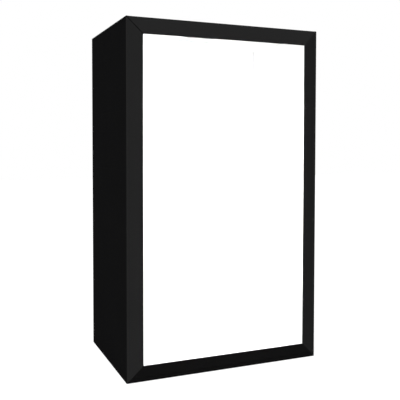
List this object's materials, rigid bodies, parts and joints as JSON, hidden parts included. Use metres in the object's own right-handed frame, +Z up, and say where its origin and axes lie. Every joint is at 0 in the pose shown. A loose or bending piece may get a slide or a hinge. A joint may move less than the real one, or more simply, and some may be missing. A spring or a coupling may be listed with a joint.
{
  "type": "photo light tent",
  "caption": "Tall black fabric light tent with an open, mitre-bordered front, tube frame, curved white backdrop, white side cloths, top diffuser and clip-on light bars.",
  "frame": {"origin": "middle of the base, on the surface that the tent stands on", "axes": "+Z up, the open front faces -Y, +X to the right as seen from the front"},
  "size_m": [1.2, 0.8142, 2.0023],
  "materials": {
    "oxford": "black coated woven fabric, matte",
    "border": "black woven fabric over a stiffener, matte",
    "cloth": "white diffusion cloth, matte",
    "vinyl": "white vinyl sheet, low sheen",
    "tube": "zinc plated, satin",
    "moulding": "black moulded plastic, satin",
    "aluminium": "clear anodised extrusion",
    "board": "white solder mask",
    "lens": "frosted, lit from behind"
  },
  "bodies": {
    "tent": {"cover_floor": "oxford", "cover_top": "oxford", "cover_left": "oxford", "cover_right": "oxford", "cover_back": "oxford", "front_border_top": "border", "front_border_bottom": "border", "front_border_left": "border", "front_border_right": "border", "cable_grommet": "moulding", "post_lower_front_left": "tube", "post_lower_front_right": "tube", "post_lower_back_left": "tube", "post_lower_back_right": "tube", "post_upper_front_left": "tube", "post_upper_front_right": "tube", "post_upper_back_left": "tube", "post_upper_back_right": "tube", "rail_top_front": "tube", "rail_top_back": "tube", "rail_top_left": "tube", "rail_top_right": "tube", "rail_bottom_front": "tube", "rail_bottom_back": "tube", "rail_bottom_left": "tube", "rail_bottom_right": "tube", "corner_top_front_left": "moulding", "corner_top_front_right": "moulding", "corner_top_back_left": "moulding", "corner_top_back_right": "moulding", "corner_bottom_front_left": "moulding", "corner_bottom_front_right": "moulding", "corner_bottom_back_left": "moulding", "corner_bottom_back_right": "moulding", "backdrop": "vinyl", "side_cloth_left": "cloth", "side_cloth_right": "cloth", "top_diffuser": "cloth"},
    "front_light": {"light_front_housing": "aluminium", "light_front_board": "board", "light_front_lens": "lens", "light_front_cap_left": "moulding", "light_front_cap_right": "moulding"},
    "rear_light": {"light_rear_housing": "aluminium", "light_rear_board": "board", "light_rear_lens": "lens", "light_rear_cap_left": "moulding", "light_rear_cap_right": "moulding"},
    "left_light": {"light_left_housing": "aluminium", "light_left_board": "board", "light_left_lens": "lens", "light_left_cap_lower": "moulding", "light_left_cap_upper": "moulding"},
    "right_light": {"light_right_housing": "aluminium", "light_right_board": "board", "light_right_lens": "lens", "light_right_cap_lower": "moulding", "light_right_cap_upper": "moulding"},
    "flap": {"top_flap": "oxford"}
  },
  "joints": [
    {"name": "front_light_slide", "type": "slide", "parent": "tent", "child": "front_light", "axis": [0, 1, 0], "range_m": [-0.0168, 0.1513]},
    {"name": "rear_light_slide", "type": "slide", "parent": "tent", "child": "rear_light", "axis": [0, 1, 0], "range_m": [-0.084, 0.084]},
    {"name": "left_light_swivel", "type": "hinge", "parent": "tent", "child": "left_light", "pos_m": [-0.5852, -0.37925, 1], "axis": [0, 0, 1], "range_deg": [-22, 22]},
    {"name": "right_light_swivel", "type": "hinge", "parent": "tent", "child": "right_light", "pos_m": [0.5852, -0.37925, 1], "axis": [0, 0, 1], "range_deg": [-22, 22]},
    {"name": "flap_fold", "type": "hinge", "parent": "tent", "child": "flap", "pos_m": [0, 0.11745, 2.0013], "axis": [-1, 0, 0], "range_deg": [0, 178]}
  ]
}
